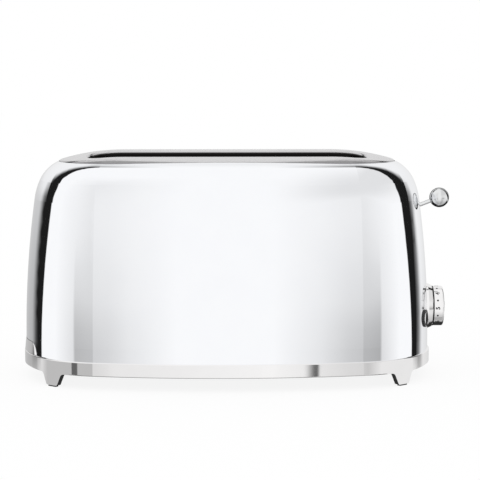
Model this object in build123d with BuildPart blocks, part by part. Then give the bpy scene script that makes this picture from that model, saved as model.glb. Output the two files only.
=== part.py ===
from build123d import *
import math
import os

os.makedirs("parts", exist_ok=True)

# Four-slice toaster with two long bread slots.
# +X runs along the slots to the lever end, +Y to the back and +Z up. The pieces are drawn about the
# middle of the body and written about the middle of the overall box, which the lever's ball pulls
# to the right. Z is zero where the feet stand. Lengths are in millimetres, angles in degrees.

# Overall form of the pressed steel jacket
overall_height = 208.3
jacket_half_length = 187.0
jacket_half_depth = 106.0
jacket_wall = 1.0
end_flattening = 4.0
end_half_angle = 31.1
jacket_corner_tightening = 31.0
skirt_straight = 12.0
flare_lean = 8.0
shoulder_radius = 60.0
shoulder_lean = 25.3
brow_radius = 34.0
brow_lean = 67.5
crown_radius = 73.0
crown_lean = 82.0

# Slot surround on top
plate_half_length = 155.0
plate_half_depth = 68.0
plate_corner_tightening = 26.0
plate_sheet = 1.0
plate_flat_half = 95.0
plate_end_radius = 205.0
plate_crown_radius = 350.0
plate_depth = 16.0
plate_gap = 0.5
rim_roll = 2.0
slot_pitch = 60.0
slot_length = 253.0
slot_width = 35.0
slot_corner = 15.0
lip_roll = 2.6

# Chromed base trim with its four feet
trim_outset = 1.5
trim_wall = 4.6
trim_bottom = 12.2
trim_top = 24.5
trim_edge = 0.8
ledge_width = 4.0
ledge_thickness = 1.0
ledge_lap = 0.8
lip_height = 3.0
lip_wall = 1.2
lip_seat = 2.0
lip_cut = 40.0
seat_depth = 12.0
foot_angle = 46.8
foot_top_width = 24.0
foot_bottom_width = 13.5
foot_root = 4.0
foot_toe = 2.0
pad_thickness = 1.2
pad_inset = 0.6
cut_spare = 1.0

# Cage between the end plates
sheet = 1.0
cage_half = 135.0
cage_half_depth = 62.0
plate_flange = 14.0
fit_gap = 0.3
shelf_width = 6.0

# Heaters, reflectors, bread guards and racks
mica = 0.6
heater_offset = 24.2
heater_bottom = 58.0
heater_top = 178.0
ribbon = 0.35
ribbon_width = 1.6
ribbon_pitch = 16.0
ribbon_runs = 15
tab_height = 8.0
tab_length = 1.5
guard_offset = 18.6
guard_travel = 7.0
guard_wire = 1.6
guard_rail = 2.0
guard_bottom = 50.0
guard_top = 184.0
guard_wires = 13
guard_pitch = 19.0
rail_proud = 1.0
rack_top = 112.0
rack_height = 6.0
rack_strip = 1.5
rack_tooth_reach = 8.0
rack_tooth = 3.0
lever_travel = 70.0

# Crumb tray at the left end
tray_half_width = 46.0
tray_floor = 25.5
tray_height = 8.0
arch_half = 52.0
arch_top = 36.0
arch_taper = 0.3
arch_corner = 9.0
front_top_outset = 0.2
front_foot_outset = 1.2
front_wall = 2.2
chute_lap = 2.0

# Lever, carriage and its guide
rod_diameter = 3.5
rod_rise = 20.6
ball_diameter = 18.3
ball_x = 197.5
ball_z = 163.6
lever_bend_x = 168.0
lever_bend_radius = 9.0
lever_slot_width = 6.4
lever_slot_spare = 1.6
guide_x = 147.0
guide_diameter = 4.0
carriage_bottom = 104.0
carriage_top = 161.0
carriage_plate_half = 36.0
carriage_plate_height = 10.0
carriage_gap = 2.0
bush_half = 7.5
bush_front = 153.0
spring_y = 17.0
spring_diameter = 7.0
spring_wire = 0.9
bracket_half = 26.0
bracket_reach = 20.0
magnet_y = -29.0
magnet_x = 158.0

# Browning knob and buttons at the right end
knob_z = 62.0
knob_diameter = 37.0
knob_back = 191.2
knob_face = 202.0
knob_edge = 1.5
knob_skin = 2.5
bezel_diameter = 42.0
bezel_front_diameter = 39.0
bezel_front = 190.7
shaft_diameter = 6.0
pot_diameter = 17.0
pot_depth = 8.0
pot_bush_diameter = 9.0
pot_bush = 7.5
pot_floor = 2.0
cancel_diameter = 14.0
cancel_proud = 1.0
cancel_travel = 1.5
cancel_bound = 1.6
cancel_edge = 0.8
button_y = 34.0
button_z = 55.0
button_diameter = 12.0
button_ring_diameter = 16.0
button_ring_proud = 1.3
button_ring_edge = 0.5
button_proud = 2.0
button_travel = 1.5
button_edge = 1.0
button_flange_diameter = 14.5
button_flange = 1.2
button_stem_diameter = 7.0
button_stem = 5.4
board_x = 166.0
board_thickness = 1.6
board_half = 46.0
board_bottom = 28.0
board_top = 79.0

# Small fits and the inner furniture
press_gap = 0.1
base_rim = 6.0
base_screw_y = 50.0
base_screw_diameter = 3.5
base_screw_head = 1.8
base_screw_head_diameter = 7.0
base_screw_length = 5.0
louvre_pitch_x = 26.0
louvre_pitch_y = 24.0
louvre_columns = 8
louvre_rows = 5
louvre_length = 18.0
louvre_width = 4.0
gland_x = 112.0
gland_y = 74.0
gland_diameter = 12.0
gland_bore = 7.2
gland_flange = 2.5
cleat_pitch = 70.0
cleat_length = 34.0
cleat_width = 16.0
cleat_corner = 4.0
cleat_neck_length = 17.0
cleat_neck_width = 8.0
cleat_neck_corner = 2.0
cleat_foot = 1.8
cleat_bottom = 4.0
cage_shoulder = 9.0
tab_inset = 22.0
tray_clear = 1.0
tray_back = 128.0
tray_sheet = 0.8
reflector_y = 60.5
reflector_top = 186.0
reflector_bend = 58.0
chute_bottom = 36.0
ribbon_margin = 6.0
rack_tooth_thickness = 2.0
carriage_sheet = 1.5
rod_socket = 3.0
ball_shell = 4.0
buffer_thickness = 1.7
bracket_sheet = 1.5
bracket_height = 14.0
magnet_length = 13.0
magnet_width = 10.0
magnet_yoke = 3.0
magnet_pole = 5.0
coil_gap = 1.0
switch_length = 12.0
switch_width = 16.0
switch_gap = 1.0
switch_y = 26.0
switch_edge = 1.0
terminal_x = 60.0
terminal_length = 34.0
terminal_width = 14.0
terminal_height = 13.0
terminal_bore = 4.0
terminal_pitch = 11.0
bus_sheet = 0.8
bus_height = 4.0
bus_spare = 2.0
post_diameter = 6.0
post_inset = 4.5
hub_depth = 7.0
knob_crown = 0.6
button_flange_gap = 0.6
button_spring_inset = 1.0
button_switch = 2.5
switch_body = 6.0


def oval_wire(half_length, half_depth, tightening, outset=0.0):
    """Closed oval of eight tangent arcs, moved outwards by outset: round ends, bowed sides."""
    end_radius = half_depth + end_flattening
    corner_radius = end_radius - tightening
    end_x = half_length - end_radius
    corner_x = end_x + tightening * math.cos(math.radians(end_half_angle))
    corner_y = tightening * math.sin(math.radians(end_half_angle))
    bow = (half_depth - corner_y - corner_radius) / corner_x
    front_angle = 90 - 2 * math.degrees(math.atan(bow))
    reach = corner_x / math.cos(math.radians(front_angle))
    front_radius = reach + corner_radius
    front_y = front_radius - half_depth
    corner_arc = front_angle - end_half_angle
    end_arc = 2 * end_half_angle
    front_arc = 180 - 2 * front_angle
    end, corner, front = end_radius + outset, corner_radius + outset, front_radius + outset
    with BuildLine() as oval:
        CenterArc((end_x, 0), end, -end_half_angle, end_arc)
        CenterArc((corner_x, corner_y), corner, end_half_angle, corner_arc)
        CenterArc((0, -front_y), front, front_angle, front_arc)
        CenterArc((-corner_x, corner_y), corner, 180 - front_angle, corner_arc)
        CenterArc((-end_x, 0), end, 180 - end_half_angle, end_arc)
        CenterArc((-corner_x, -corner_y), corner, 180 + end_half_angle, corner_arc)
        CenterArc((0, front_y), front, 180 + front_angle, front_arc)
        CenterArc((corner_x, -corner_y), corner, 360 - front_angle, corner_arc)
    return oval.wire()


def jacket_oval(outset=0.0):
    """Plan of the jacket's foot, moved outwards by outset."""
    return oval_wire(jacket_half_length, jacket_half_depth, jacket_corner_tightening, outset)


def plate_oval(outset=0.0):
    """Plan of the slot surround, moved outwards by outset."""
    return oval_wire(plate_half_length, plate_half_depth, plate_corner_tightening, outset)


def rise(radius, low, high):
    """Height gained along an arc whose lean goes from low to high."""
    return radius * (math.sin(math.radians(high)) - math.sin(math.radians(low)))


box_middle = (ball_x + ball_diameter / 2 - jacket_half_length - trim_outset) / 2

# The jacket's edge meets the surround just under the surround's tip
tip_drop = (plate_half_length - plate_flat_half) ** 2 / (2 * plate_end_radius)
tip_step = 1.1
jacket_edge_z = overall_height - tip_drop - tip_step
flare_top = jacket_edge_z - rise(brow_radius, shoulder_lean, brow_lean) \
    - rise(shoulder_radius, flare_lean, shoulder_lean)
flare_bottom = trim_top + skirt_straight
flare_radius = (flare_top - flare_bottom) / math.sin(math.radians(flare_lean))


def jacket_line(inset):
    """Half section of the jacket from its foot to its crown, moved inwards by inset."""
    with BuildLine() as line:
        skirt = Line((jacket_half_length - inset, trim_top), (jacket_half_length - inset, flare_bottom))
        flare = JernArc(skirt @ 1, skirt % 1, flare_radius - inset, flare_lean)
        shoulder = JernArc(flare @ 1, flare % 1, shoulder_radius - inset, shoulder_lean - flare_lean)
        brow = JernArc(shoulder @ 1, shoulder % 1, brow_radius - inset, brow_lean - shoulder_lean)
        JernArc(brow @ 1, brow % 1, crown_radius - inset, crown_lean - brow_lean)
    return line.wire()


def jacket_skin(outer_inset, inner_inset):
    """Solid skin between two insets of the jacket's section, swept round its plan."""
    outer, inner = jacket_line(outer_inset), jacket_line(inner_inset)
    with BuildPart() as skin:
        with BuildSketch(Plane.XZ):
            with BuildLine():
                add(outer)
                add(inner)
                Line(outer @ 0, inner @ 0)
                Line(outer @ 1, inner @ 1)
            make_face()
        sweep(path=jacket_oval())
    return skin.part


def jacket_half_at(z):
    """Half length of the jacket's outer skin at height z on its flare."""
    lean = math.asin(max(0.0, z - flare_bottom) / flare_radius)
    return jacket_half_length - flare_radius * (1 - math.cos(lean))


def end_face_x(y, z):
    """X of the jacket's outer skin at the right end, at y across and z up its flare."""
    end_radius = jacket_half_depth + end_flattening
    inset = jacket_half_length - jacket_half_at(z)
    return jacket_half_length - end_radius + math.sqrt((end_radius - inset) ** 2 - y ** 2)


def ring(outer_outset, inner_outset, bottom, height):
    """Upright wall that follows the jacket's plan between two outsets."""
    with BuildPart() as wall:
        with BuildSketch(Plane.XY.offset(bottom)):
            make_face(jacket_oval(outer_outset).edges())
            make_face(jacket_oval(inner_outset).edges(), mode=Mode.SUBTRACT)
        extrude(amount=height)
    return wall.part


def arch_block(gap):
    """Block across the tray end with the outline of the tray's arch, drawn in by gap."""
    with BuildPart() as block:
        with BuildSketch(Plane.YZ):
            with BuildLine():
                half_low = arch_half + arch_taper * (trim_top - trim_bottom) - gap
                half_high = arch_half - arch_taper * (arch_top - trim_top) - gap
                Polyline((-half_low, trim_bottom), (half_low, trim_bottom), (half_high, arch_top - gap),
                         (-half_high, arch_top - gap), close=True)
            arch = make_face()
            fillet(arch.vertices().group_by(Axis.Y)[-1], arch_corner - gap)
        extrude(amount=-(jacket_half_length + seat_depth))
    return block.part


def end_plane(y, z):
    """Plane on the jacket's right end at y and z, its normal square to the jacket's plan."""
    x = end_face_x(y, z)
    end_x = jacket_half_length - jacket_half_depth - end_flattening
    out = Vector(x - end_x, y, 0).normalized()
    return Plane(origin=(x, y, z), x_dir=Vector(-out.Y, out.X, 0), z_dir=out)


def finish(part, name):
    """Move a finished piece into the part's frame, label it and write it as its own STEP file."""
    placed = part.moved(Location((-box_middle, 0, 0)))
    placed.label = name
    export_step(placed, f"parts/{name}.step")
    print(f"{name}: {len(part.solids())} solids, {part.volume:.0f} mm3")


skin_cutter = jacket_skin(0, seat_depth)
slot_centres = [-slot_pitch / 2, slot_pitch / 2]
slot_sides = [(y, side) for y in slot_centres for side in (1, -1)]
band_inner = trim_outset - trim_wall
base_z = trim_bottom + trim_edge + ledge_thickness
base_top = base_z + sheet
plate_bottom = overall_height - plate_depth
cage_top = plate_bottom - fit_gap
cage_out = cage_half + sheet
guard_reach = cage_out + rail_proud

# Outer jacket: one pressed skin, open for the surround, the tray, the lever, the knob and the buttons
rod_slope = math.tan(math.radians(rod_rise))
rod_high_z = ball_z - rod_slope * (ball_x - end_face_x(0, ball_z))
rod_low_z = ball_z - lever_travel - rod_slope * (ball_x - end_face_x(0, ball_z - lever_travel))
slot_spare = rod_diameter / 2 / math.cos(math.radians(rod_rise)) + lever_slot_spare
lever_slot_length = rod_high_z - rod_low_z + 2 * slot_spare
lever_slot_z = (rod_low_z + rod_high_z) / 2
button_planes = {"front": end_plane(-button_y, button_z), "rear": end_plane(button_y, button_z)}

with BuildPart() as outer_jacket:
    add(jacket_skin(0, jacket_wall))
    with BuildSketch(Plane.XY.offset(jacket_edge_z - brow_radius)):
        make_face(plate_oval(plate_gap).edges())
    extrude(amount=2 * brow_radius, mode=Mode.SUBTRACT)
    add(arch_block(0), mode=Mode.SUBTRACT)
    with BuildSketch(Plane.YZ.offset(cage_half)):
        with Locations((0, lever_slot_z)):
            SlotOverall(lever_slot_length, lever_slot_width, rotation=90)
        with Locations((0, knob_z)):
            Circle(pot_bush_diameter / 2 + fit_gap)
    extrude(amount=jacket_half_length, mode=Mode.SUBTRACT)
    for plane in button_planes.values():
        with BuildSketch(plane.offset(-seat_depth / 2)):
            Circle(button_diameter / 2 + fit_gap)
        extrude(amount=seat_depth, mode=Mode.SUBTRACT)
finish(outer_jacket.part, "outer_jacket")


def on_seam(edge):
    """True for an edge across the crest where the flat run meets the falling ends."""
    return abs(abs(edge.center().X) - plate_flat_half) < 0.5


def surround_blank(inset, bottom):
    """Domed oval block with two slots and rolled edges; inset gives the form of its underside."""
    axis_z = overall_height - plate_crown_radius
    crest = plate_crown_radius - inset
    lean = math.degrees(math.asin(plate_half_depth / plate_crown_radius)) + cut_spare
    end_arc = math.degrees(math.asin((plate_half_length - plate_flat_half) / plate_end_radius)) + cut_spare
    section = Plane((0, 0, axis_z), x_dir=(1, 0, 0), z_dir=(0, -1, 0)).rotated((-lean, 0, 0))
    with BuildPart() as blank:
        with BuildSketch(section):
            with BuildLine():
                top = Line((-plate_flat_half, crest), (plate_flat_half, crest))
                right = JernArc(top @ 1, top % 1, plate_end_radius - inset, -end_arc)
                left = JernArc(top @ 0, -1 * (top % 0), plate_end_radius - inset, end_arc)
                foot = crest - 3 * plate_depth
                Polyline(right @ 1, ((right @ 1).X, foot), ((left @ 1).X, foot), left @ 1)
            make_face()
        revolve(axis=Axis((0, 0, axis_z), (1, 0, 0)), revolution_arc=2 * lean)
        with BuildSketch(Plane.XY.offset(bottom)):
            make_face(plate_oval(-inset).edges())
        extrude(amount=2 * plate_depth, mode=Mode.INTERSECT)
        rim = blank.edges().filter_by(lambda edge: edge.bounding_box().min.Z > bottom + cut_spare)
        fillet(rim.filter_by(lambda edge: not on_seam(edge)), rim_roll - inset)
        with BuildSketch(Plane.XY.offset(bottom)):
            with Locations([(0, y) for y in slot_centres]):
                RectangleRounded(slot_length + 2 * inset, slot_width + 2 * inset, slot_corner + inset)
        extrude(amount=2 * plate_depth, mode=Mode.SUBTRACT)
        lips = blank.edges(Select.LAST).filter_by(lambda edge: edge.bounding_box().min.Z > bottom + cut_spare)
        fillet(lips.filter_by(lambda edge: not on_seam(edge)), lip_roll - inset)
    return blank.part


# Slot surround: a doubly crowned plate with rolled rim and rolled slot lips
with BuildPart() as slot_surround:
    add(surround_blank(0, plate_bottom))
    add(surround_blank(plate_sheet, plate_bottom - cut_spare), mode=Mode.SUBTRACT)
finish(slot_surround.part, "slot_surround")

# Base trim: a band round the foot with four tapered feet, a ledge inside and a lip for the jacket
end_radius = jacket_half_depth + end_flattening
foot_centre_x = jacket_half_length - end_radius \
    + jacket_corner_tightening * math.cos(math.radians(end_half_angle))
foot_centre_y = jacket_corner_tightening * math.sin(math.radians(end_half_angle))
foot_radius = end_radius - jacket_corner_tightening + trim_outset - trim_wall / 2
foot_planes = []
for side_x in (1, -1):
    for side_y in (1, -1):
        out = Vector(side_x * math.cos(math.radians(foot_angle)),
                     side_y * math.sin(math.radians(foot_angle)), 0)
        middle = Vector(side_x * foot_centre_x, side_y * foot_centre_y, 0) + out * foot_radius
        foot_planes.append(Plane(origin=middle, x_dir=Vector(-out.Y, out.X, 0), z_dir=out))

with BuildPart() as foot_blocks:
    for plane in foot_planes:
        half_top, half_bottom = foot_top_width / 2, foot_bottom_width / 2
        spread, shelf = half_top + 2 * foot_root, trim_bottom + trim_edge
        with BuildSketch(plane) as foot_outline:
            with BuildLine():
                Polyline((-spread, shelf), (-spread, trim_bottom), (-half_top, trim_bottom),
                         (-half_bottom, pad_thickness), (half_bottom, pad_thickness),
                         (half_top, trim_bottom), (spread, trim_bottom), (spread, shelf), close=True)
            outline = make_face()
            fillet(outline.vertices().filter_by(
                lambda corner: abs(corner.Y - trim_bottom) < 0.01 and abs(corner.X) < spread - 0.01), foot_root)
            fillet(foot_outline.vertices().group_by(Axis.Y)[0], foot_toe)
        extrude(amount=3 * trim_wall, both=True)
    add(ring(trim_outset, band_inner, 0, trim_bottom + trim_edge), mode=Mode.INTERSECT)

with BuildPart() as base_trim:
    with BuildSketch(Plane.XZ):
        with Locations((jacket_half_length + trim_outset - trim_wall / 2, (trim_bottom + trim_top) / 2)):
            RectangleRounded(trim_wall, trim_top - trim_bottom, trim_edge)
    sweep(path=jacket_oval())
    add(foot_blocks.part)
    add(ring(band_inner + ledge_lap, band_inner - ledge_width, trim_bottom + trim_edge, ledge_thickness))
    lip_outset = -jacket_wall - fit_gap
    add(ring(lip_outset, lip_outset - lip_wall, trim_top - lip_seat, lip_seat + lip_height))
    with BuildSketch(Plane.XY.offset(trim_top)):
        with Locations((-jacket_half_length, 0)):
            Rectangle(2 * lip_cut, 2 * (arch_half + lip_wall))
    extrude(amount=2 * lip_height, mode=Mode.SUBTRACT)
finish(base_trim.part, "base_trim")

# Foot pads: thin rubber soles under the four feet
with BuildPart() as foot_pads:
    for plane in foot_planes:
        with BuildSketch(plane):
            with Locations((0, pad_thickness / 2)):
                Rectangle(foot_bottom_width - 2 * foot_toe, pad_thickness)
        extrude(amount=3 * trim_wall, both=True)
    add(ring(trim_outset - pad_inset, band_inner + pad_inset, 0, pad_thickness), mode=Mode.INTERSECT)
finish(foot_pads.part, "foot_pads")

# Base plate: a louvred steel pan on the trim's ledge
base_outset = band_inner - fit_gap
screw_spots = [(x, y) for x in (-1, 1) for y in (-1, 1)]
screw_spots = [(x * (cage_out + plate_flange / 2), y * base_screw_y) for x, y in screw_spots]
with BuildPart() as base_plate:
    add(ring(base_outset, base_outset - sheet, base_z, base_rim))
    with BuildSketch(Plane.XY.offset(base_z)):
        make_face(jacket_oval(base_outset - sheet / 2).edges())
        with GridLocations(louvre_pitch_x, louvre_pitch_y, louvre_columns, louvre_rows):
            SlotOverall(louvre_length, louvre_width, mode=Mode.SUBTRACT)
        with Locations(screw_spots):
            Circle(base_screw_diameter / 2 + press_gap, mode=Mode.SUBTRACT)
        with Locations((gland_x, gland_y)):
            Circle(gland_diameter / 2, mode=Mode.SUBTRACT)
    extrude(amount=sheet)
finish(base_plate.part, "base_plate")

with BuildPart() as base_screws:
    with BuildSketch(Plane.XY.offset(base_z - base_screw_head)):
        with Locations(screw_spots):
            Circle(base_screw_head_diameter / 2)
    extrude(amount=base_screw_head)
    with BuildSketch(Plane.XY.offset(base_z)):
        with Locations(screw_spots):
            Circle(base_screw_diameter / 2)
    extrude(amount=base_screw_length)
finish(base_screws.part, "base_screws")

# Cord gland and cord cleats under the base plate
with BuildPart() as cord_gland:
    with BuildSketch(Plane.XZ.offset(-gland_y)):
        with BuildLine():
            waist, flange = gland_diameter / 2, gland_diameter / 2 + gland_flange
            low, high = base_z - gland_flange, base_top + gland_flange
            Polyline((gland_x + gland_bore / 2, low), (gland_x + flange, low), (gland_x + flange, base_z),
                     (gland_x + waist, base_z), (gland_x + waist, base_top), (gland_x + flange, base_top),
                     (gland_x + flange, high), (gland_x + gland_bore / 2, high), close=True)
        make_face()
    revolve(axis=Axis((gland_x, gland_y, 0), (0, 0, 1)))
finish(cord_gland.part, "cord_gland")

with BuildPart() as cord_cleats:
    with BuildSketch(Plane.XY.offset(base_z - cleat_foot)):
        with GridLocations(cleat_pitch, 0, 2, 1):
            RectangleRounded(cleat_length, cleat_width, cleat_corner)
    extrude(amount=cleat_foot)
    with BuildSketch(Plane.XY.offset(cleat_bottom)):
        with GridLocations(cleat_pitch, 0, 2, 1):
            RectangleRounded(cleat_neck_length, cleat_neck_width, cleat_neck_corner)
    extrude(amount=base_z - cleat_foot - cleat_bottom)
    with BuildSketch(Plane.XY.offset(cleat_bottom)):
        with GridLocations(cleat_pitch, 0, 2, 1):
            RectangleRounded(cleat_length, cleat_width, cleat_corner)
    extrude(amount=cleat_foot)
finish(cord_cleats.part, "cord_cleats")

# End plates of the cage, slotted for the racks, the guards and the heater tabs
tab_heights = (heater_bottom + tab_inset, heater_top - tab_inset)


def end_plate(side):
    """One sheet steel end plate, side 1 at the lever end and -1 at the tray end."""
    with BuildPart() as upright:
        with BuildSketch(Plane.YZ.offset(side * cage_half)):
            with BuildLine():
                Polyline((-cage_half_depth, base_top), (cage_half_depth, base_top),
                         (cage_half_depth, cage_top - cage_shoulder),
                         (cage_half_depth - cage_shoulder, cage_top),
                         (-cage_half_depth + cage_shoulder, cage_top),
                         (-cage_half_depth, cage_top - cage_shoulder), close=True)
            make_face()
            rack_low = rack_top - rack_height - lever_travel - fit_gap
            with Locations([(y, (rack_low + rack_top + fit_gap) / 2) for y in slot_centres]):
                Rectangle(rack_strip + 2 * fit_gap, rack_top + fit_gap - rack_low, mode=Mode.SUBTRACT)
            pin_middles = [y + s * (guard_offset - guard_travel / 2) for y, s in slot_sides]
            with Locations([(y, z) for y in pin_middles for z in (guard_bottom, guard_top)]):
                SlotOverall(guard_travel + guard_rail + 2 * fit_gap, guard_rail + 2 * fit_gap,
                            mode=Mode.SUBTRACT)
            with Locations([(y + s * heater_offset, z) for y, s in slot_sides for z in tab_heights]):
                Rectangle(mica + 2 * press_gap, tab_height + 2 * press_gap, mode=Mode.SUBTRACT)
            if side < 0:
                with Locations((0, tray_floor + tray_height / 2)):
                    Rectangle(2 * (tray_half_width + fit_gap), tray_height + 2 * tray_clear,
                              mode=Mode.SUBTRACT)
        extrude(amount=side * sheet)
        with BuildSketch(Plane.XY.offset(base_top)):
            with Locations((side * (cage_half + (sheet + plate_flange) / 2), 0)):
                Rectangle(sheet + plate_flange, 2 * cage_half_depth)
            with Locations(screw_spots):
                Circle(base_screw_diameter / 2 + press_gap, mode=Mode.SUBTRACT)
        extrude(amount=sheet)
        with BuildSketch(Plane.XY.offset(cage_top - sheet)):
            with Locations((side * (cage_half + plate_half_length - press_gap) / 2, 0)):
                Rectangle(plate_half_length - press_gap - cage_half, cage_half_depth)
        extrude(amount=sheet)
    return upright.part


finish(end_plate(1), "lever_end_plate")
finish(end_plate(-1), "tray_end_plate")

# Reflectors outside the outer heaters, each with a chute that turns crumbs inwards to the tray
for name, side in (("front_reflector", -1), ("rear_reflector", 1)):
    with BuildPart() as reflector:
        with BuildSketch(Plane.YZ.offset(-cage_half)):
            with BuildLine():
                wall_y, chute_y = side * reflector_y, side * (tray_half_width - chute_lap)
                edge = Polyline((wall_y, reflector_top), (wall_y, reflector_bend), (chute_y, chute_bottom))
                offset(edge, amount=sheet / 2, side=Side.BOTH)
            make_face()
        extrude(amount=2 * cage_half)
    finish(reflector.part, name)

# Heater cards with their ribbons, outer and inner, for the front and rear slot
card_names = ("front_inner", "front_outer", "rear_outer", "rear_inner")
for name, (slot_y, side) in zip(card_names, slot_sides):
    card_y = slot_y + side * heater_offset
    face_y = card_y - side * mica / 2
    with BuildPart() as card:
        with BuildSketch(Plane.XZ.offset(-card_y - mica / 2)):
            with Locations((0, (heater_bottom + heater_top) / 2)):
                Rectangle(2 * cage_half, heater_top - heater_bottom)
            with Locations([(0, z) for z in tab_heights]):
                Rectangle(2 * (cage_out + tab_length), tab_height)
        extrude(amount=mica)
    finish(card.part, f"{name}_heater_card")
    ribbon_start = face_y if side < 0 else face_y - ribbon
    run_height = heater_top - heater_bottom - 2 * ribbon_margin
    run_middle = (heater_bottom + heater_top) / 2
    with BuildPart() as heater_ribbon:
        with BuildSketch(Plane.XZ.offset(-ribbon_start - ribbon)):
            with Locations((0, run_middle)):
                with GridLocations(ribbon_pitch, 0, ribbon_runs, 1):
                    Rectangle(ribbon_width, run_height)
            for turn in range(ribbon_runs - 1):
                x = (turn + 1 - ribbon_runs / 2) * ribbon_pitch
                z = run_middle + (-1) ** turn * (run_height - ribbon_width) / 2
                with Locations((x, z)):
                    Rectangle(ribbon_pitch, ribbon_width)
        extrude(amount=ribbon)
    finish(heater_ribbon.part, f"{name}_heater_ribbon")

# Wire guards that close in on the bread as the lever goes down
for name, (slot_y, side) in zip(card_names, slot_sides):
    guard_y = slot_y + side * guard_offset
    with BuildPart() as guard:
        with BuildSketch(Plane.YZ.offset(-guard_reach)):
            with Locations((guard_y, guard_bottom), (guard_y, guard_top)):
                Circle(guard_rail / 2)
        extrude(amount=2 * guard_reach)
        with BuildSketch(Plane.XY.offset(guard_bottom)):
            with Locations((0, guard_y)):
                with GridLocations(guard_pitch, 0, guard_wires, 1):
                    Circle(guard_wire / 2)
        extrude(amount=guard_top - guard_bottom)
    finish(guard.part, f"{name}_guard")

# Bread racks: an upright strip through both end plates with teeth that carry the slices
carriage_x = cage_out + carriage_gap
for name, slot_y in zip(("front_rack", "rear_rack"), slot_centres):
    with BuildPart() as rack:
        with BuildSketch(Plane.YZ.offset(-guard_reach)):
            with Locations((slot_y, rack_top - rack_height / 2)):
                Rectangle(rack_strip, rack_height)
        extrude(amount=guard_reach + carriage_x)
        with BuildSketch(Plane.XY.offset(rack_top - rack_tooth_thickness)):
            with Locations((0, slot_y)):
                with GridLocations(guard_pitch, 0, guard_wires - 1, 1):
                    Rectangle(rack_tooth, 2 * rack_tooth_reach)
        extrude(amount=rack_tooth_thickness)
    finish(rack.part, name)

# Crumb tray runners, tray and the arched handle that closes the left end
for name, side in (("front_runner", -1), ("rear_runner", 1)):
    with BuildPart() as runner:
        web_y = side * (tray_half_width + tray_clear)
        shelf_top = tray_floor - fit_gap
        with BuildSketch(Plane.YZ.offset(-cage_half)):
            with Locations((web_y + side * sheet / 2, (base_top + shelf_top) / 2)):
                Rectangle(sheet, shelf_top - base_top)
            with Locations((web_y + side * (sheet - shelf_width) / 2, shelf_top - sheet / 2)):
                Rectangle(shelf_width, sheet)
        extrude(amount=cage_half + tray_back)
    finish(runner.part, name)

front_back = front_top_outset - front_wall
with BuildPart() as crumb_tray:
    tray_long = tray_back + jacket_half_length
    tray_middle = (tray_back - jacket_half_length) / 2
    with BuildSketch(Plane.XY.offset(tray_floor)):
        with Locations((tray_middle, 0)):
            Rectangle(tray_long, 2 * tray_half_width)
        make_face(jacket_oval(front_back).edges(), mode=Mode.INTERSECT)
    extrude(amount=tray_height)
    with BuildSketch(Plane.XY.offset(tray_floor + tray_sheet)):
        with Locations((tray_middle - tray_sheet, 0)):
            Rectangle(tray_long, 2 * (tray_half_width - tray_sheet))
    extrude(amount=tray_height, mode=Mode.SUBTRACT)
finish(crumb_tray.part, "crumb_tray")

with BuildPart() as tray_handle:
    with BuildSketch(Plane.XZ):
        with BuildLine():
            low, high = trim_top + fit_gap, arch_top
            Polyline((jacket_half_length + front_back, low), (jacket_half_length + front_foot_outset, low),
                     (jacket_half_length + front_top_outset, high), (jacket_half_length + front_back, high),
                     close=True)
        make_face()
    sweep(path=jacket_oval())
    add(arch_block(fit_gap), mode=Mode.INTERSECT)
finish(tray_handle.part, "tray_handle")

# Carriage: a bent steel plate that ties both racks to the lever
ear_z = carriage_bottom
with BuildPart() as carriage_plate:
    with BuildSketch(Plane.YZ.offset(carriage_x)):
        with Locations((0, carriage_bottom + carriage_plate_height / 2)):
            Rectangle(2 * carriage_plate_half, carriage_plate_height)
        with Locations((0, (carriage_bottom + carriage_top) / 2)):
            Rectangle(2 * bush_half, carriage_top - carriage_bottom)
    extrude(amount=carriage_sheet)
    with BuildSketch(Plane.XY.offset(ear_z)):
        with Locations(((carriage_x + guide_x + spring_diameter / 2) / 2, 0)):
            with GridLocations(0, 2 * spring_y, 1, 2):
                Rectangle(guide_x + spring_diameter / 2 - carriage_x, spring_diameter)
    extrude(amount=carriage_sheet)
finish(carriage_plate.part, "carriage_plate")

bush_back = carriage_x + carriage_sheet
rod_inner_z = ball_z - rod_slope * (ball_x - lever_bend_x)
with BuildPart() as lever_rod:
    with BuildLine():
        FilletPolyline((bush_front - rod_socket, 0, rod_inner_z), (lever_bend_x, 0, rod_inner_z),
                       (ball_x, 0, ball_z), radius=lever_bend_radius)
    with BuildSketch(Plane.YZ.offset(bush_front - rod_socket)):
        with Locations((0, rod_inner_z)):
            Circle(rod_diameter / 2)
    sweep()
    with Locations((ball_x, 0, ball_z)):
        Sphere(ball_diameter / 2 - ball_shell, mode=Mode.SUBTRACT)
finish(lever_rod.part, "lever_rod")

with BuildPart() as lever_ball:
    with Locations((ball_x, 0, ball_z)):
        Sphere(ball_diameter / 2)
    add(lever_rod.part, mode=Mode.SUBTRACT)
finish(lever_ball.part, "lever_ball")

with BuildPart() as carriage_bush:
    with BuildSketch(Plane.XY.offset(carriage_bottom)):
        with Locations(((bush_back + bush_front) / 2, 0)):
            Rectangle(bush_front - bush_back, 2 * bush_half)
        with Locations((guide_x, 0)):
            Circle(guide_diameter / 2 + fit_gap, mode=Mode.SUBTRACT)
    extrude(amount=carriage_top - carriage_bottom)
    add(lever_rod.part, mode=Mode.SUBTRACT)
finish(carriage_bush.part, "carriage_bush")

# Guide rod, its top bracket, the stop buffer and the return springs
bracket_z = carriage_top + fit_gap + buffer_thickness
with BuildPart() as guide_rod:
    with BuildSketch(Plane.XY.offset(base_top + sheet)):
        with Locations((guide_x, 0)):
            Circle(guide_diameter / 2)
    extrude(amount=bracket_z + bracket_sheet - base_top - sheet)
finish(guide_rod.part, "guide_rod")

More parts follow.
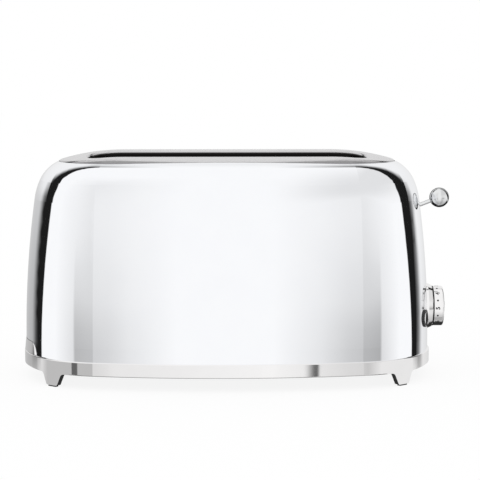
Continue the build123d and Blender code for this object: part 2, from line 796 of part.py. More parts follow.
with BuildPart() as top_bracket:
    with BuildSketch(Plane.XY.offset(bracket_z)):
        with Locations((cage_out + bracket_reach / 2, 0)):
            Rectangle(bracket_reach, 2 * bracket_half)
        with Locations((guide_x, 0)):
            Circle(guide_diameter / 2, mode=Mode.SUBTRACT)
    extrude(amount=bracket_sheet)
    with BuildSketch(Plane.YZ.offset(cage_out)):
        with Locations((0, bracket_z + bracket_height / 2)):
            Rectangle(2 * bracket_half, bracket_height)
    extrude(amount=bracket_sheet)
finish(top_bracket.part, "top_bracket")

with BuildPart() as stop_buffer:
    with BuildSketch(Plane.XY.offset(bracket_z - buffer_thickness)):
        with Locations((guide_x, 0)):
            Circle(guide_diameter)
            Circle(guide_diameter / 2, mode=Mode.SUBTRACT)
    extrude(amount=buffer_thickness)
finish(stop_buffer.part, "stop_buffer")

spring_low = ear_z + carriage_sheet
with BuildPart() as return_springs:
    with BuildSketch(Plane.XY.offset(spring_low)):
        with Locations((guide_x, -spring_y), (guide_x, spring_y)):
            Circle(spring_diameter / 2)
            Circle(spring_diameter / 2 - spring_wire, mode=Mode.SUBTRACT)
    extrude(amount=bracket_z - spring_low)
finish(return_springs.part, "return_springs")

# Hold-down magnet, its keeper on the carriage and the mains switch below it
magnet_top = carriage_bottom - lever_travel - fit_gap
with BuildPart() as magnet_core:
    with BuildSketch(Plane.XY.offset(base_top)):
        with Locations((magnet_x, magnet_y)):
            Rectangle(magnet_length, magnet_width)
    extrude(amount=magnet_yoke)
    with BuildSketch(Plane.XY.offset(base_top + magnet_yoke)):
        with Locations((magnet_x, magnet_y)):
            Circle(magnet_pole / 2)
    extrude(amount=magnet_top - base_top - magnet_yoke)
finish(magnet_core.part, "magnet_core")

with BuildPart() as magnet_coil:
    with BuildSketch(Plane.XY.offset(base_top + magnet_yoke)):
        with Locations((magnet_x, magnet_y)):
            Circle(magnet_width / 2)
            Circle(magnet_pole / 2, mode=Mode.SUBTRACT)
    extrude(amount=magnet_top - base_top - magnet_yoke - coil_gap)
finish(magnet_coil.part, "magnet_coil")

with BuildPart() as latch_keeper:
    with BuildSketch(Plane.XY.offset(carriage_bottom)):
        with Locations(((bush_back + magnet_x + magnet_pole) / 2, magnet_y)):
            Rectangle(magnet_x + magnet_pole - bush_back, magnet_width)
    extrude(amount=carriage_sheet)
finish(latch_keeper.part, "latch_keeper")

with BuildPart() as mains_switch:
    with BuildSketch(Plane.XY.offset(base_top + sheet)):
        with Locations((cage_out + switch_gap + switch_length / 2, switch_y)):
            Rectangle(switch_length, switch_width)
    extrude(amount=magnet_top - base_top - sheet)
    fillet(mains_switch.edges().group_by(Axis.Z)[-1], switch_edge)
finish(mains_switch.part, "mains_switch")

with BuildPart() as terminal_block:
    with BuildSketch(Plane.XY.offset(base_top)):
        with Locations((terminal_x, gland_y)):
            Rectangle(terminal_length, terminal_width)
    extrude(amount=terminal_height)
    with BuildSketch(Plane.XZ.offset(-gland_y)):
        with Locations((terminal_x, base_top + terminal_height / 2)):
            with GridLocations(terminal_pitch, 0, 3, 1):
                Circle(terminal_bore / 2)
    extrude(amount=terminal_width, both=True, mode=Mode.SUBTRACT)
finish(terminal_block.part, "terminal_block")

# Bus bars across the heater tabs at the tray end
with BuildPart() as bus_bars:
    with BuildSketch(Plane.YZ.offset(-cage_out - tab_length)):
        with Locations([(0, z) for z in tab_heights]):
            Rectangle(slot_pitch + 2 * (heater_offset + bus_spare), bus_height)
    extrude(amount=-bus_sheet)
finish(bus_bars.part, "bus_bars")

# Control board on four posts, with the browning potentiometer and the button switches
board_front = board_x + board_thickness
with BuildPart() as control_board:
    with BuildSketch(Plane.YZ.offset(board_x)):
        with Locations((0, (board_bottom + board_top) / 2)):
            Rectangle(2 * board_half, board_top - board_bottom)
    extrude(amount=board_thickness)
finish(control_board.part, "control_board")

with BuildPart() as board_posts:
    with BuildSketch(Plane.YZ.offset(cage_out)):
        with Locations((0, (board_bottom + board_top) / 2)):
            with GridLocations(2 * (board_half - post_inset), board_top - board_bottom - 2 * post_inset, 2, 2):
                Circle(post_diameter / 2)
    extrude(amount=board_x - cage_out)
finish(board_posts.part, "board_posts")

with BuildPart() as timer_pot:
    with BuildSketch(Plane.YZ.offset(board_front)):
        with Locations((0, knob_z)):
            Circle(pot_diameter / 2)
    extrude(amount=pot_depth)
    with BuildSketch(Plane.YZ.offset(board_front + pot_depth)):
        with Locations((0, knob_z)):
            Circle(pot_bush_diameter / 2)
    extrude(amount=pot_bush)
    with BuildSketch(Plane.YZ.offset(board_front + pot_floor)):
        with Locations((0, knob_z)):
            Circle(shaft_diameter / 2 + fit_gap)
    extrude(amount=pot_depth + pot_bush, mode=Mode.SUBTRACT)
finish(timer_pot.part, "timer_pot")

# Bezel, browning knob with its hub, and the cancel button in its centre
knob_axis = Axis((0, 0, knob_z), (1, 0, 0))
hub_radius = cancel_diameter / 2 + fit_gap
with BuildPart() as knob_bezel:
    with BuildSketch(Plane.XZ):
        with BuildLine():
            bezel_bore = knob_z + pot_bush_diameter / 2 + fit_gap
            Polyline((jacket_half_length - seat_depth / 2, bezel_bore),
                     (jacket_half_length - seat_depth / 2, knob_z + bezel_diameter / 2),
                     (jacket_half_length, knob_z + bezel_diameter / 2),
                     (bezel_front, knob_z + bezel_front_diameter / 2), (bezel_front, bezel_bore), close=True)
        make_face()
    revolve(axis=knob_axis)
    add(skin_cutter, mode=Mode.SUBTRACT)
finish(knob_bezel.part, "knob_bezel")

hub_floor = knob_face - hub_depth
with BuildPart() as browning_knob:
    with BuildSketch(Plane.XZ):
        with BuildLine():
            outer, inner = knob_diameter / 2, knob_diameter / 2 - knob_skin
            side_line = Line((knob_back, knob_z + outer), (knob_face - knob_crown - knob_edge, knob_z + outer))
            edge_arc = JernArc(side_line @ 1, (1, 0), knob_edge, -90)
            face_middle = (outer + hub_radius) / 2
            ThreePointArc(edge_arc @ 1, (knob_face - knob_crown / 3, knob_z + face_middle),
                          (knob_face, knob_z + hub_radius))
            Polyline((knob_face, knob_z + hub_radius), (hub_floor, knob_z + hub_radius),
                     (hub_floor, knob_z + shaft_diameter / 2),
                     (hub_floor - knob_skin, knob_z + shaft_diameter / 2),
                     (hub_floor - knob_skin, knob_z + hub_radius + knob_skin),
                     (knob_face - knob_crown - knob_skin, knob_z + hub_radius + knob_skin),
                     (knob_face - knob_crown - knob_skin, knob_z + inner),
                     (knob_back, knob_z + inner), (knob_back, knob_z + outer))
        make_face()
    revolve(axis=knob_axis)
finish(browning_knob.part, "browning_knob")

shaft_start = board_front + pot_floor + fit_gap
with BuildPart() as knob_shaft:
    with BuildSketch(Plane.YZ.offset(shaft_start)):
        with Locations((0, knob_z)):
            Circle(shaft_diameter / 2)
    extrude(amount=hub_floor - shaft_start)
finish(knob_shaft.part, "knob_shaft")

cancel_back = hub_floor + cancel_travel + cancel_bound
with BuildPart() as cancel_button:
    with BuildSketch(Plane.YZ.offset(cancel_back)):
        with Locations((0, knob_z)):
            Circle(cancel_diameter / 2)
    extrude(amount=knob_face + cancel_proud - cancel_back)
    fillet(cancel_button.edges().group_by(Axis.X)[-1], cancel_edge)
finish(cancel_button.part, "cancel_button")

with BuildPart() as cancel_spring:
    with BuildSketch(Plane.YZ.offset(hub_floor)):
        with Locations((0, knob_z)):
            Circle(spring_diameter / 2)
            Circle(spring_diameter / 2 - spring_wire, mode=Mode.SUBTRACT)
    extrude(amount=cancel_back - hub_floor)
finish(cancel_spring.part, "cancel_spring")

# Function buttons: a chromed ring, a cap with a stop flange and stem, its spring, switch and pedestal
cap_seat = -jacket_wall - button_flange_gap
stem_top = cap_seat - button_flange
stem_end = stem_top - button_stem
plunger = stem_end - button_travel - fit_gap
pedestal_top = plunger - button_switch
with BuildPart() as button_rings:
    for plane in button_planes.values():
        with BuildSketch(plane.offset(-seat_depth / 2)):
            Circle(button_ring_diameter / 2)
        extrude(amount=seat_depth / 2 + button_ring_proud)
    fillet(button_rings.edges().filter_by(GeomType.CIRCLE).group_by(Axis.X)[-1], button_ring_edge)
    add(skin_cutter, mode=Mode.SUBTRACT)
    for plane in button_planes.values():
        with BuildSketch(plane.offset(-seat_depth / 2)):
            Circle(button_diameter / 2 + fit_gap)
        extrude(amount=seat_depth, mode=Mode.SUBTRACT)
finish(button_rings.part, "button_rings")

for name, plane in button_planes.items():
    with BuildPart() as button:
        with BuildSketch(plane.offset(stem_top)):
            Circle(button_diameter / 2)
        extrude(amount=button_proud - stem_top)
        fillet(button.faces().sort_by(Axis(plane.origin, plane.z_dir))[-1].edges(), button_edge)
        with BuildSketch(plane.offset(stem_top)):
            Circle(button_flange_diameter / 2)
        extrude(amount=button_flange)
        with BuildSketch(plane.offset(stem_end)):
            Circle(button_stem_diameter / 2)
        extrude(amount=button_stem)
    finish(button.part, f"{name}_button")
    with BuildPart() as button_spring:
        with BuildSketch(plane.offset(pedestal_top)):
            Circle(button_flange_diameter / 2 - button_spring_inset)
            Circle(button_flange_diameter / 2 - button_spring_inset - spring_wire, mode=Mode.SUBTRACT)
        extrude(amount=stem_top - pedestal_top)
    finish(button_spring.part, f"{name}_button_spring")

with BuildPart() as button_switches:
    for plane in button_planes.values():
        with BuildSketch(plane.offset(pedestal_top)):
            Rectangle(switch_body, switch_body)
        extrude(amount=button_switch)
finish(button_switches.part, "button_switches")

with BuildPart() as switch_pedestals:
    for plane in button_planes.values():
        with BuildSketch(plane.offset(pedestal_top)):
            Circle(button_flange_diameter / 2)
        extrude(amount=-seat_depth)
    split(bisect_by=Plane.YZ.offset(board_front), keep=Keep.TOP)
finish(switch_pedestals.part, "switch_pedestals")
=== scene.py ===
"""Looks of a four-slice toaster: polished steel body, satin slot surround, chromed trim, lever and knob.

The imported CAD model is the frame. Its pieces keep their shape and place and get their real finishes here.
Lengths are in metres in the CAD frame: +X to the lever end, +Y to the back, +Z up.
"""

from __future__ import annotations

import logging
import math
from dataclasses import dataclass
from enum import Enum

import bmesh
import bpy
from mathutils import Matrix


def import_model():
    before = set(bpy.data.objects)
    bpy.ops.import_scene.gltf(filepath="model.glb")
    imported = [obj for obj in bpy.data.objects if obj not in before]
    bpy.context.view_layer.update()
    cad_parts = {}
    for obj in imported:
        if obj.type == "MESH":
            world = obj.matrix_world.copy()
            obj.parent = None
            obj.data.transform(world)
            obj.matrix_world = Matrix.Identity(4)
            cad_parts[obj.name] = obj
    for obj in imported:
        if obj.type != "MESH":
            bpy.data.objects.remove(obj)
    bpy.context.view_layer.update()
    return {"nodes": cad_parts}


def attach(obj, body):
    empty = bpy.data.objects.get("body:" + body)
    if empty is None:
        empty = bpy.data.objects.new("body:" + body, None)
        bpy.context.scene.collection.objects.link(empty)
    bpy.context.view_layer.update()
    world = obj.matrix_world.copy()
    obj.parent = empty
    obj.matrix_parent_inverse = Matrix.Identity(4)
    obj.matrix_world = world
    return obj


LOG = logging.getLogger("toaster")
MM = 0.001
# The body's middle lies left of the frame's origin, because the ball counts in the overall box
BODY_X = -9.075 * MM

Inputs = dict[str | int, object]
Socket = bpy.types.NodeSocket
# Pairs of a value and the level there, lowest value first
Levels = tuple[tuple[float, float], ...]


class Place(Enum):
    """Where a pattern takes its coordinates from: the piece itself, or the direction of a ray."""

    OBJECT = "Object"
    DIRECTION = "Generated"


def linear(colour: str) -> tuple[float, float, float, float]:
    """Turn an sRGB hex colour into linear light.

    Args:
        colour: Six hex digits, red first.

    Returns:
        Red, green, blue and an alpha of 1.
    """
    parts = [int(colour[i:i + 2], 16) / 255 for i in (0, 2, 4)]
    light = [p / 12.92 if p <= 0.04045 else ((p + 0.055) / 1.055) ** 2.4 for p in parts]
    return light[0], light[1], light[2], 1.0


def add_node(tree: bpy.types.NodeTree, kind: str, inputs: Inputs | None = None,
             **settings: object) -> bpy.types.Node:
    """Add one node with its settings, its fixed inputs and its links.

    Args:
        tree: Node tree that takes the node.
        kind: Blender's name of the node type.
        inputs: Socket names or numbers with their values, or the sockets that feed them.
        settings: Properties of the node itself.

    Returns:
        The new node.
    """
    made = tree.nodes.new(kind)
    for name, value in settings.items():
        setattr(made, name, value)
    for name, value in (inputs or {}).items():
        if isinstance(value, Socket):
            tree.links.new(value, made.inputs[name])
        else:
            made.inputs[name].default_value = value
    return made


@dataclass(frozen=True)
class Grain:
    """Fine unevenness left by the way a surface was made."""

    size_mm: float
    depth_mm: float = 0.0
    stretch: tuple[float, float, float] = (1.0, 1.0, 1.0)
    detail: float = 3.0

    def pattern(self, tree: bpy.types.NodeTree) -> Socket:
        """Noise from 0 to 1 whose spots have the grain's real size.

        Args:
            tree: The material's node tree.

        Returns:
            The noise's output socket.
        """
        place = add_node(tree, "ShaderNodeTexCoord")
        scale = [1 / (self.size_mm * MM * s) for s in self.stretch]
        mapped = add_node(tree, "ShaderNodeMapping", {"Vector": place.outputs[Place.OBJECT.value],
                                                      "Scale": scale})
        noise = add_node(tree, "ShaderNodeTexNoise", {"Vector": mapped.outputs["Vector"], "Scale": 1.0,
                                                      "Detail": self.detail, "Roughness": 0.5})
        return noise.outputs["Fac"]


@dataclass(frozen=True)
class Finish:
    """A finish with its colour, its gloss and the grain that its making leaves.

    Its tone carries the colour over to the worn one and spreads the roughness. A polished finish
    has no grain.
    """

    name: str
    colour: str
    worn_colour: str
    roughness: float
    roughness_spread: float
    metallic: float
    tone: Grain
    grain: Grain | None = None

    def build(self) -> bpy.types.Material:
        """Make the material.

        Returns:
            The material, ready to be put in a slot.
        """
        material = bpy.data.materials.new(self.name)
        material.use_nodes = True
        tree = material.node_tree
        shader = tree.nodes["Principled BSDF"]
        shader.inputs["Metallic"].default_value = self.metallic
        tone = self.tone.pattern(tree)
        colour = add_node(tree, "ShaderNodeMix", {"Factor": tone, 6: linear(self.colour),
                                                  7: linear(self.worn_colour)}, data_type="RGBA")
        tree.links.new(colour.outputs[2], shader.inputs["Base Color"])
        gloss = add_node(tree, "ShaderNodeMapRange", {
            "Value": tone, "To Min": self.roughness - self.roughness_spread,
            "To Max": self.roughness + self.roughness_spread})
        tree.links.new(gloss.outputs["Result"], shader.inputs["Roughness"])
        if self.grain:
            bump = add_node(tree, "ShaderNodeBump", {
                "Strength": 1.0, "Distance": self.grain.depth_mm * MM, "Height": self.grain.pattern(tree)})
            tree.links.new(bump.outputs["Normal"], shader.inputs["Normal"])
        self.dress(tree, shader)
        return material

    def dress(self, tree: bpy.types.NodeTree, shader: bpy.types.Node) -> None:
        """Add what one finish alone has; a plain finish has nothing more."""


@dataclass(frozen=True)
class DraftedFinish(Finish):
    """A finish on a casting whose side faces lean out of plumb by its mould's draft."""

    draft: float = 4.0

    def dress(self, tree: bpy.types.NodeTree, shader: bpy.types.Node) -> None:
        """Turn the shading of the side faces down by the draft, in degrees.

        Args:
            tree: The material's node tree.
            shader: Its surface shader.
        """
        face = add_node(tree, "ShaderNodeNewGeometry")
        lean = add_node(tree, "ShaderNodeVectorMath", {
            0: face.outputs["Normal"], 1: (0.0, 0.0, -math.tan(math.radians(self.draft)))}, operation="ADD")
        unit = add_node(tree, "ShaderNodeVectorMath", {0: lean.outputs[0]}, operation="NORMALIZE")
        tree.links.new(unit.outputs[0], shader.inputs["Normal"])


@dataclass(frozen=True)
class EdgedFinish(Finish):
    """A metal finish with painted shade round its edges: a black grazing tint darkens it where its round
    sides turn away.
    """

    # Black tint of the grazing reflection: painted shade round the edges
    edge_tint: str = "000000"

    def dress(self, tree: bpy.types.NodeTree, shader: bpy.types.Node) -> None:
        """Set the tint of the metal's grazing reflection, black here, which paints shade round the edges.
        """
        shader.inputs["Specular Tint"].default_value = linear(self.edge_tint)


@dataclass(frozen=True)
class LippedFinish(Finish):
    """A sheet's finish with painted shade: its colour darkens where its rolled lips and rim turn down, a
    painted reflection of the dark slots.
    """

    # Colour of the painted shade on the steep lips and rim
    lip_colour: str = "2b2929"
    # Height of the face's normal at which the painted shade begins, and at which it is full
    dark_from: float = 0.62
    dark_to: float = 0.12
    # Share of the painted shade that the outer rim gets, outside the box that holds both slots
    rim_share: float = 0.45
    slots_half_length: float = 128.0 * MM
    slots_half_depth: float = 52.0 * MM

    def dress(self, tree: bpy.types.NodeTree, shader: bpy.types.Node) -> None:
        """Paint shade into the lips' colour where they stand steep, a painted reflection of the dark slots.

        Args:
            tree: The material's node tree.
            shader: Its surface shader.
        """
        face = add_node(tree, "ShaderNodeNewGeometry")
        upright = add_node(tree, "ShaderNodeSeparateXYZ", {0: face.outputs["True Normal"]}).outputs[2]
        steep = add_node(tree, "ShaderNodeMapRange", {
            "Value": upright, "From Min": self.dark_from, "From Max": self.dark_to},
            interpolation_type="SMOOTHSTEP")
        place = add_node(tree, "ShaderNodeSeparateXYZ", {
            0: add_node(tree, "ShaderNodeTexCoord").outputs[Place.OBJECT.value]})
        near = [add_node(tree, "ShaderNodeMath", {0: place.outputs[axis], 1: middle, 2: reach},
                         operation="COMPARE").outputs[0]
                for axis, middle, reach in ((0, BODY_X, self.slots_half_length),
                                            (1, 0.0, self.slots_half_depth))]
        slot = add_node(tree, "ShaderNodeMath", {0: near[0], 1: near[1]}, operation="MULTIPLY")
        depth = add_node(tree, "ShaderNodeMapRange", {
            "Value": slot.outputs[0], "To Min": self.rim_share, "To Max": 1.0})
        share = add_node(tree, "ShaderNodeMath", {
            0: steep.outputs["Result"], 1: depth.outputs["Result"]}, operation="MULTIPLY")
        # Painted shade: the sheet's colour turns to the dark painted colour on the steep lips and rim
        flat = shader.inputs["Base Color"].links[0].from_socket
        colour = add_node(tree, "ShaderNodeMix", {
            "Factor": share.outputs[0], 6: flat, 7: linear(self.lip_colour)}, data_type="RGBA")
        tree.links.new(colour.outputs[2], shader.inputs["Base Color"])


# Mirror-polished stainless steel: it shows the room crisply, with the faint haze of buffing
POLISHED_STEEL = Finish("polished_stainless_steel", "fafbfd", "f7f8fb", 0.035, 0.012, 1.0,
                        tone=Grain(26.0))
# Stainless steel brushed along the slots: a soft grey, with painted shade on its rolled lips where they
# drop away.
# Its brush lines, like the draw lines of the wires below, are coarser than real ones, so that they show
SATIN_STEEL = LippedFinish("satin_stainless_steel", "d9d8d9", "cdcccd", 0.24, 0.03, 1.0,
                           tone=Grain(3.0, stretch=(14.0, 1.0, 1.0)),
                           grain=Grain(0.45, 0.004, stretch=(60.0, 1.0, 1.0)))
# Chromed small turned pieces, the lever and the buttons: a hard mirror with painted shade round its edges,
# from a black grazing tint
TURNED_CHROME = EdgedFinish("turned_chrome_plate", "eceded", "e4e5e6", 0.04, 0.015, 1.0,
                            tone=Grain(9.0))
# Chrome on the base trim's casting, whose draft turns its faces a little down to the table
DRAFTED_CHROME = DraftedFinish("drafted_chrome_plate", "f6f5f5", "f2f1f1", 0.04, 0.015, 1.0,
                               tone=Grain(14.0))
# Chrome on the castings whose faces stand plumb: tray handle, knob and bezel, bright to their edges
CAST_CHROME = Finish("cast_chrome_plate", "f6f5f5", "f2f1f1", 0.04, 0.015, 1.0,
                     tone=Grain(14.0))
# Cold-rolled zinc-coated sheet: dull and slightly mottled
ZINCED_SHEET = Finish("zinc_coated_sheet", "a6a9ab", "8f9294", 0.42, 0.08, 1.0,
                      tone=Grain(7.0), grain=Grain(1.6, 0.006))
# Drawn wire, nickel plated: bright along its length
BRIGHT_WIRE = Finish("nickel_plated_wire", "bdbdbb", "a9a9a6", 0.22, 0.05, 1.0,
                     tone=Grain(5.0), grain=Grain(0.6, 0.004, stretch=(1.0, 1.0, 6.0)))
# Resistance ribbon, oxidised by heat: dark straw and grey
HEAT_RIBBON = Finish("oxidised_resistance_ribbon", "6d6259", "4d4744", 0.45, 0.08, 1.0,
                     tone=Grain(4.0), grain=Grain(0.5, 0.004))
# Pressed mica board: flaky, silvery tan, with a little sheen
MICA_BOARD = Finish("mica_board", "b7a184", "98836a", 0.55, 0.1, 0.0,
                    tone=Grain(2.4, detail=6.0), grain=Grain(1.2, 0.03, detail=6.0))
# Moulded rubber: dull black with a fine blast texture
SOLE_RUBBER = Finish("moulded_rubber", "1b1b1c", "242425", 0.78, 0.05, 0.0,
                     tone=Grain(2.0), grain=Grain(0.4, 0.02))
# Moulded ABS: near black, lightly spark-eroded, so highlights are broad
BLACK_ABS = Finish("moulded_black_abs", "161617", "1e1e20", 0.36, 0.05, 0.0,
                   tone=Grain(6.0), grain=Grain(0.35, 0.006))
# Moulded urea: off-white and glossy
WHITE_UREA = Finish("moulded_white_urea", "e4e3de", "dad8d2", 0.28, 0.04, 0.0,
                    tone=Grain(5.0), grain=Grain(0.6, 0.004))
# Drawn spring steel: grey with fine draw lines
SPRING_STEEL = Finish("drawn_spring_steel", "9b9c9d", "85878a", 0.30, 0.05, 1.0,
                      tone=Grain(3.0), grain=Grain(0.3, 0.003, stretch=(1.0, 1.0, 8.0)))
# Glass-epoxy board under green lacquer: the weave shows through faintly
GREEN_LAMINATE = Finish("lacquered_laminate", "2c5b3c", "23492f", 0.35, 0.06, 0.0,
                        tone=Grain(1.5), grain=Grain(0.7, 0.008))
# Enamelled copper wire, wound close
COPPER_WIRE = Finish("enamelled_copper_wire", "b0673a", "8f4f2b", 0.3, 0.05, 1.0,
                     tone=Grain(2.0), grain=Grain(0.35, 0.05, stretch=(8.0, 8.0, 1.0)))
# Brass strip, tinned and a little dull
BRASS_STRIP = Finish("dull_brass_strip", "bf9a58", "a78247", 0.34, 0.06, 1.0,
                     tone=Grain(4.0), grain=Grain(0.6, 0.004))
# Printing ink on the knob's rim: matt black; it also paints the shadow of the gap round the rim's root
PRINT_AND_SHADOW_INK = Finish("pad_print_and_painted_shadow_ink", "121213", "1a1a1b", 0.55, 0.04, 0.0,
                   tone=Grain(1.0))


@dataclass
class Assembly:
    """CAD nodes that share a place in the toaster, each with its finish."""

    nodes: dict[str, object]
    made: dict[str, bpy.types.Material]

    def coat(self, finish: Finish, *names: str) -> None:
        """Give CAD nodes a finish.

        Args:
            finish: The finish.
            names: The nodes' names.
        """
        if finish.name not in self.made:
            self.made[finish.name] = finish.build()
        for name in names:
            piece = self.nodes[name]
            slots = piece.material_slots
            if not slots:
                piece.data.materials.append(self.made[finish.name])
            for slot in slots:
                slot.material = self.made[finish.name]
            LOG.info("%s: %s", name, finish.name)


@dataclass
class Shell(Assembly):
    """Jacket, slot surround, base trim and what closes the foot."""

    def dress(self) -> None:
        """Finish every piece of the shell."""
        self.coat(POLISHED_STEEL, "outer_jacket")
        self.coat(SATIN_STEEL, "slot_surround")
        self.coat(DRAFTED_CHROME, "base_trim")
        self.coat(CAST_CHROME, "tray_handle")
        self.coat(SOLE_RUBBER, "foot_pads")
        self.coat(ZINCED_SHEET, "base_plate")
        self.coat(SPRING_STEEL, "base_screws")
        self.coat(BLACK_ABS, "cord_gland", "cord_cleats")


@dataclass
class Cage(Assembly):
    """Heaters, guards, racks, reflectors and the tray inside the shell."""

    sides: tuple[str, ...] = ("front_inner", "front_outer", "rear_outer", "rear_inner")

    def dress(self) -> None:
        """Finish every piece of the cage."""
        self.coat(ZINCED_SHEET, "lever_end_plate", "tray_end_plate", "front_reflector", "rear_reflector",
                  "front_runner", "rear_runner", "crumb_tray", "top_bracket", "carriage_plate")
        self.coat(MICA_BOARD, *(f"{side}_heater_card" for side in self.sides))
        self.coat(HEAT_RIBBON, *(f"{side}_heater_ribbon" for side in self.sides))
        self.coat(BRIGHT_WIRE, *(f"{side}_guard" for side in self.sides), "front_rack", "rear_rack")
        self.coat(BRASS_STRIP, "bus_bars")


@dataclass
class Works(Assembly):
    """Carriage, latch, switch and control board behind the lever end."""

    def dress(self) -> None:
        """Finish every piece of the works."""
        self.coat(BLACK_ABS, "carriage_bush", "mains_switch", "button_switches", "switch_pedestals")
        self.coat(SPRING_STEEL, "guide_rod", "return_springs", "magnet_core", "latch_keeper", "timer_pot",
                  "knob_shaft", "cancel_spring", "front_button_spring", "rear_button_spring")
        self.coat(SOLE_RUBBER, "stop_buffer")
        self.coat(COPPER_WIRE, "magnet_coil")
        self.coat(WHITE_UREA, "terminal_block")
        self.coat(BRASS_STRIP, "board_posts")
        self.coat(GREEN_LAMINATE, "control_board")


@dataclass
class Controls(Assembly):
    """Lever, knob and buttons that the hand reaches."""

    def dress(self) -> None:
        """Finish every piece of the controls."""
        self.coat(TURNED_CHROME, "lever_rod", "lever_ball", "front_button", "rear_button")
        self.coat(CAST_CHROME, "knob_bezel", "browning_knob", "cancel_button")
        self.coat(BLACK_ABS, "button_rings")


@dataclass
class KnobScale(Assembly):
    """Numbers and dots printed round the rim of the browning knob, and a black line of painted shadow round
    its root.
    """

    axis_height: float = 62.0 * MM
    rim_radius: float = 18.5 * MM
    rim_back: float = 182.125 * MM
    print_middle: float = 186.3 * MM
    ink: float = 0.05 * MM
    digit_height: float = 3.8 * MM
    # A number fills this much of its font's line, and its strokes swell by this share of its height
    digit_share: float = 0.7
    digit_swell: float = 0.05
    digit_fineness: int = 6
    dot_radius: float = 0.9 * MM
    dot_corners: int = 20
    # Width and corners of the painted shadow line round the rim's root
    root_width: float = 1.1 * MM
    root_corners: int = 96
    # The scale runs over the knob's turn, 45 degrees a number, with a dot between each two
    number_step: float = 45.0
    numbers: int = 7
    middle_turn: float = -90.0

    def on_rim(self, across: float, beyond: float, turn: float) -> tuple[float, float, float]:
        """Wrap a flat mark's point round the rim.

        Args:
            across: How far the point lies to the reader's right, in metres.
            beyond: How far it lies towards the body.
            turn: The mark's place round the rim in degrees, from the front downwards.

        Returns:
            The point on the rim.
        """
        angle = math.radians(turn) - across / self.rim_radius
        reach = self.rim_radius + self.ink
        return (self.print_middle - beyond, -reach * math.cos(angle),
                self.axis_height - reach * math.sin(angle))

    def turn_of(self, number: float) -> float:
        """Place of a number round the rim, in degrees."""
        return self.middle_turn + self.number_step * (number - self.numbers // 2)

    def digit(self, number: int, mesh: bmesh.types.BMesh) -> None:
        """Add one number's face to the print.

        Args:
            number: The number.
            mesh: Mesh that takes it.
        """
        curve = bpy.data.curves.new("digit", "FONT")
        curve.body, curve.size = str(number), self.digit_height / self.digit_share
        curve.resolution_u = self.digit_fineness
        curve.offset = self.digit_swell * self.digit_height
        shape = bpy.data.objects.new("digit", curve)
        flat = bpy.data.meshes.new_from_object(shape)
        middle = [(min(v.co[axis] for v in flat.vertices) + max(v.co[axis] for v in flat.vertices)) / 2
                  for axis in (0, 1)]
        points = [mesh.verts.new(self.on_rim(v.co.x - middle[0], v.co.y - middle[1], self.turn_of(number)))
                  for v in flat.vertices]
        for face in flat.polygons:
            mesh.faces.new([points[i] for i in face.vertices])
        bpy.data.meshes.remove(flat)
        bpy.data.objects.remove(shape)
        bpy.data.curves.remove(curve)

    def dot(self, number: float, mesh: bmesh.types.BMesh) -> None:
        """Add one dot to the print.

        Args:
            number: Its place on the scale, half-way between two numbers.
            mesh: Mesh that takes it.
        """
        radius, turn = self.dot_radius, self.turn_of(number)
        ring = [2 * math.pi * i / self.dot_corners for i in range(self.dot_corners)]
        mesh.faces.new([mesh.verts.new(self.on_rim(radius * math.cos(a), radius * math.sin(a), turn))
                        for a in ring])

    def root_line(self, mesh: bmesh.types.BMesh) -> None:
        """Add a black line of painted shadow round the rim's root, where the knob meets its bezel.

        Args:
            mesh: Mesh that takes it.
        """
        count = self.root_corners
        back, front = ([mesh.verts.new(self.on_rim(0.0, self.print_middle - x, 360 * i / count))
                        for i in range(count)] for x in (self.rim_back, self.rim_back + self.root_width))
        for i in range(count):
            j = (i + 1) % count
            mesh.faces.new((back[i], front[i], front[j], back[j]))

    def dress(self) -> None:
        """Print the scale, paint the gap's shadow and let them turn with the knob."""
        mesh = bmesh.new()
        for number in range(self.numbers):
            self.digit(number, mesh)
        for number in range(self.numbers - 1):
            self.dot(number + 0.5, mesh)
        self.root_line(mesh)
        data = bpy.data.meshes.new("knob_scale_and_gap_shadow")
        mesh.to_mesh(data)
        mesh.free()
        piece = bpy.data.objects.new("knob_scale_and_gap_shadow", data)
        bpy.context.scene.collection.objects.link(piece)
        data.materials.append(PRINT_AND_SHADOW_INK.build())
        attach(piece, "knob")
        LOG.info("knob_scale_and_gap_shadow: %s", PRINT_AND_SHADOW_INK.name)


@dataclass(frozen=True)
class Change:
    """A smooth change of level along a value."""

    begins: float
    ends: float
    before: float = 0.0
    after: float = 1.0


@dataclass(frozen=True)
class Gap:
    """A dark gap between two lights, by the side that a ray comes from, in degrees."""

    begins: float
    dark_from: float
    dark_to: float
    ends: float
    depth: float


@dataclass(frozen=True)
class Ray:
    """Direction of a mirrored ray: to the right, to the back and up."""

    across: Socket
    along: Socket
    up: Socket


